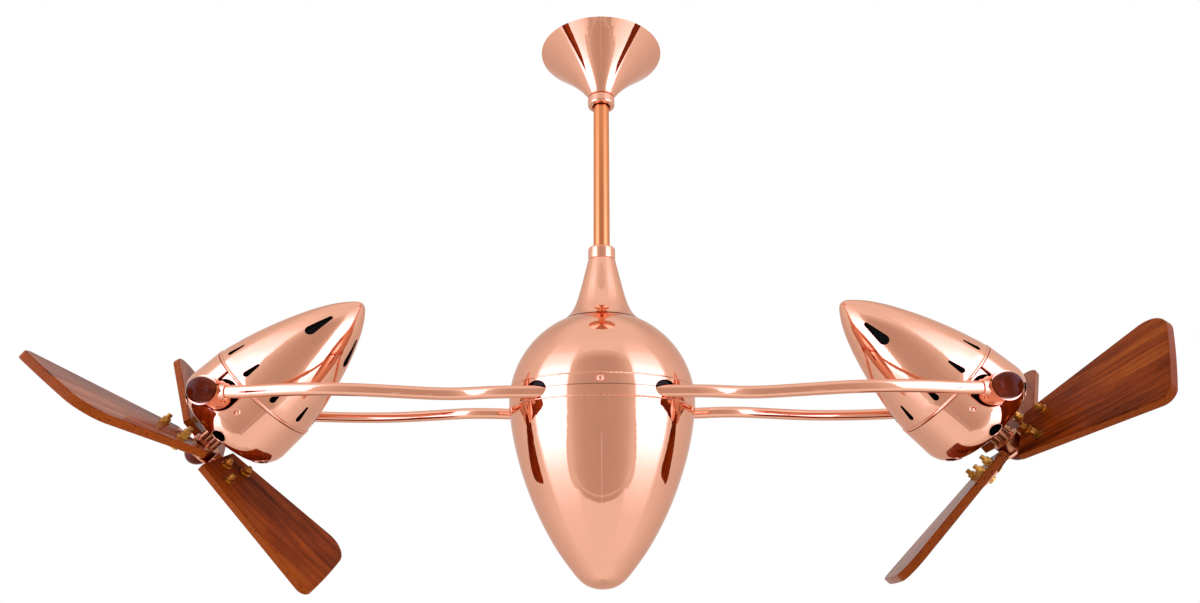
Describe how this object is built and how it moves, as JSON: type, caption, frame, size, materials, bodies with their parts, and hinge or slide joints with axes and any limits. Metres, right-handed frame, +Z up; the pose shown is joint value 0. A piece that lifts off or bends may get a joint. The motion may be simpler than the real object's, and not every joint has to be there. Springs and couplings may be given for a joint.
{
  "type": "twin head ceiling fan",
  "caption": "Ceiling fan with a downrod and a bullet shaped carousel whose bowed arms carry tilting vented bullet heads with wooden paddle blades.",
  "frame": {"origin": "on the ceiling, at the centre of the hanger bracket's two slots, on the downrod's centre line", "axes": "+Z up towards the ceiling, X along the arms with the left head at -X, front at -Y"},
  "size_m": [1.084, 0.3715, 0.6339],
  "materials": {
    "polished_copper": "polished copper",
    "steel": "zinc plated",
    "casting": "as cast",
    "mahogany": "gloss lacquer",
    "brass": "bright brass",
    "motor_black": "satin black",
    "plastic": "moulded"
  },
  "bodies": {
    "stem": {"ceiling_bracket": "steel", "hanger_ball": "casting", "hanger_pin": "steel", "canopy": "polished_copper", "canopy_collar": "polished_copper", "collar_set_screws": "steel", "downrod": "polished_copper", "neck_collar": "polished_copper", "neck_cone": "polished_copper", "spindle": "steel", "spindle_nut": "steel", "slip_ring": "brass"},
    "carousel": {"upper_bearing": "steel", "lower_bearing": "steel", "brush_block": "plastic", "dome": "polished_copper", "bullet": "polished_copper", "shell_screws": "polished_copper", "arm_hub": "casting", "arm_clamps": "steel", "clamp_screws": "steel", "rear_right_arm": "polished_copper", "rear_left_arm": "polished_copper", "front_right_arm": "polished_copper", "front_left_arm": "polished_copper", "left_pivot_bosses": "polished_copper", "right_pivot_bosses": "polished_copper", "left_boss_caps": "mahogany", "right_boss_caps": "mahogany", "pivot_bolts": "steel"},
    "left_head": {"left_cowl": "polished_copper", "left_cup": "polished_copper", "left_lip_ring": "polished_copper", "left_motor_frame": "casting", "left_motor": "motor_black", "left_cup_screws": "polished_copper"},
    "left_rotor": {"left_motor_shaft": "steel", "left_hub": "polished_copper", "left_blade_irons": "polished_copper", "left_blade_1": "mahogany", "left_blade_2": "mahogany", "left_blade_3": "mahogany", "left_blade_bolts": "brass", "left_blade_nuts": "brass", "left_end_cap": "mahogany"},
    "right_head": {"right_cowl": "polished_copper", "right_cup": "polished_copper", "right_lip_ring": "polished_copper", "right_motor_frame": "casting", "right_motor": "motor_black", "right_cup_screws": "polished_copper"},
    "right_rotor": {"right_motor_shaft": "steel", "right_hub": "polished_copper", "right_blade_irons": "polished_copper", "right_blade_1": "mahogany", "right_blade_2": "mahogany", "right_blade_3": "mahogany", "right_blade_bolts": "brass", "right_blade_nuts": "brass", "right_end_cap": "mahogany"}
  },
  "joints": [
    {"name": "carousel_spin", "type": "hinge", "parent": "stem", "child": "carousel", "pos_m": [0, 0, -0.4415], "axis": [0, 0, 1], "continuous": true},
    {"name": "left_tilt", "type": "hinge", "parent": "carousel", "child": "left_head", "pos_m": [-0.386, 0, -0.4415], "axis": [0, 1, 0], "range_deg": [-44.5, 135.5]},
    {"name": "left_rotor_spin", "type": "hinge", "parent": "left_head", "child": "left_rotor", "pos_m": [-0.386, 0, -0.4415], "axis": [-0.7009, 0, -0.7133], "continuous": true},
    {"name": "right_tilt", "type": "hinge", "parent": "carousel", "child": "right_head", "pos_m": [0.386, 0, -0.4415], "axis": [0, -1, 0], "range_deg": [-46, 134]},
    {"name": "right_rotor_spin", "type": "hinge", "parent": "right_head", "child": "right_rotor", "pos_m": [0.386, 0, -0.4415], "axis": [0.7193, 0, -0.6947], "continuous": true}
  ]
}
